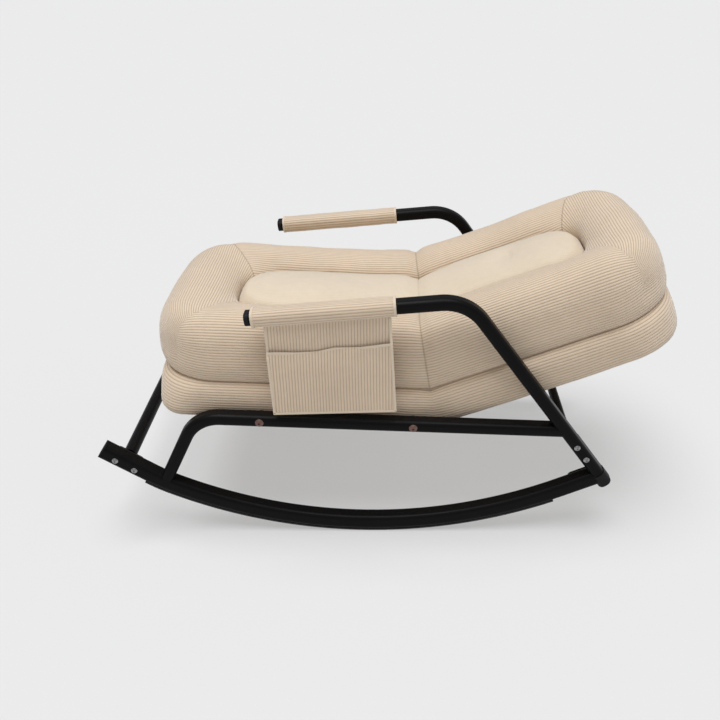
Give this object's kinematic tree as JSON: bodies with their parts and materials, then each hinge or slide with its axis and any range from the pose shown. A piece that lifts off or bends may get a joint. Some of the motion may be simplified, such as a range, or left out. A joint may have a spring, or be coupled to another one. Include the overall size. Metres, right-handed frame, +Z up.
{
  "type": "rocking lounge chair",
  "caption": "Reclined lounge chair on curved tube rails with a thick ribbed cushion, padded arms, a side pocket and a back that tilts at the crease.",
  "frame": {"origin": "middle of the footprint box, on the floor", "axes": "+X towards the head end, along the rails; +Y towards the sitter's right; +Z up"},
  "size_m": [1.3667, 0.65, 0.7324],
  "materials": {
    "black_paint": "satin",
    "black_plastic": "matte",
    "tread_rubber": "matte",
    "zinc_steel": "satin",
    "warm_steel": "satin",
    "corduroy": "matte",
    "pad_cloth": "matte",
    "binding_cloth": "matte",
    "webbing": "matte"
  },
  "bodies": {
    "frame": {"arm_front_cap_left": "black_plastic", "arm_front_cap_right": "black_plastic", "arm_lower_cap_left": "black_plastic", "arm_lower_cap_right": "black_plastic", "arm_sleeve_left": "corduroy", "arm_sleeve_right": "corduroy", "arm_tube_left": "black_paint", "arm_tube_right": "black_paint", "fold_base": "corduroy", "fold_pad": "pad_cloth", "fold_rim": "corduroy", "front_bar_bolts": "zinc_steel", "front_bar_nuts": "zinc_steel", "front_cross_tube": "black_paint", "front_flange_plates": "black_paint", "hinge_nuts": "zinc_steel", "hinge_pins": "zinc_steel", "hinge_seat_plate_left": "zinc_steel", "hinge_seat_plate_right": "zinc_steel", "pocket_back_panel": "corduroy", "pocket_front_panel": "corduroy", "pocket_gusset": "binding_cloth", "rear_bracket_bolts": "zinc_steel", "rear_bracket_left": "black_paint", "rear_bracket_nuts": "zinc_steel", "rear_bracket_right": "black_paint", "rear_cross_tube": "black_paint", "rocker_strip_left": "tread_rubber", "rocker_strip_right": "tread_rubber", "rocker_tip_plug_left": "black_plastic", "rocker_tip_plug_right": "black_plastic", "rocker_tube_left": "black_paint", "rocker_tube_right": "black_paint", "seat_base_cushion": "corduroy", "seat_bolts": "warm_steel", "seat_frame_cross_front": "black_paint", "seat_frame_cross_middle": "black_paint", "seat_frame_cross_rear": "black_paint", "seat_frame_side_left": "black_paint", "seat_frame_side_right": "black_paint", "seat_nuts": "zinc_steel", "seat_pad": "pad_cloth", "seat_rail_left": "black_paint", "seat_rail_right": "black_paint", "seat_rim_roll": "corduroy", "seat_spacers": "zinc_steel", "seat_webbing": "webbing", "sleeve_binding_left": "binding_cloth", "sleeve_binding_right": "binding_cloth"},
    "back": {"back_base_cushion": "corduroy", "back_frame_cross": "black_paint", "back_frame_tube": "black_paint", "back_pad": "pad_cloth", "back_rim_roll": "corduroy", "back_webbing": "webbing", "hinge_back_plate_left": "zinc_steel", "hinge_back_plate_right": "zinc_steel"}
  },
  "joints": [
    {"name": "back_recline", "type": "hinge", "parent": "frame", "child": "back", "pos_m": [0.12197, 0, 0.3065], "axis": [0, -1, 0], "range_deg": [0, 40], "deforming": ["fold_base", "fold_pad", "fold_rim"]}
  ]
}
